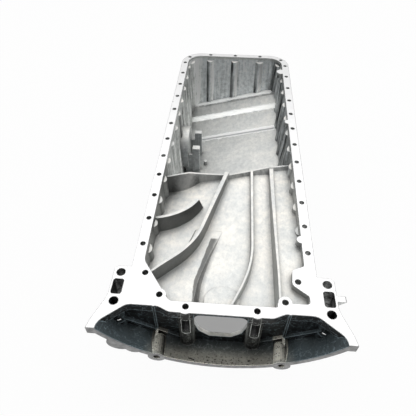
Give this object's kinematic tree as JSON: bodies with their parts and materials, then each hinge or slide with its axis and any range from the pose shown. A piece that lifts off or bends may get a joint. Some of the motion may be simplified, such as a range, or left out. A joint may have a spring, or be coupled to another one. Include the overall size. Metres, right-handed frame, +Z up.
{
  "type": "engine oil pan",
  "caption": "Cast aluminium oil pan with a deep front sump, a shallow ribbed rear tray, a machined gasket rim, bolt ears and a curved lower bell housing.",
  "frame": {"origin": "on the gasket face, midway between the two inner screws of the rear bar", "axes": "+Z up from the gasket face to the crankcase, +Y from the bell housing towards the front of the engine, +X to the right looking forwards"},
  "size_m": [0.3, 0.667, 0.1587],
  "materials": {
    "cast_aluminium": "as cast, fine grained, with the gasket and bell faces machined bright",
    "plug_steel": "zinc plated, dull",
    "copper_washer": "annealed, dull"
  },
  "bodies": {
    "root": {"oil_pan_casting": "cast_aluminium", "drain_plug": "plug_steel", "drain_plug_washer": "copper_washer"}
  },
  "joints": []
}
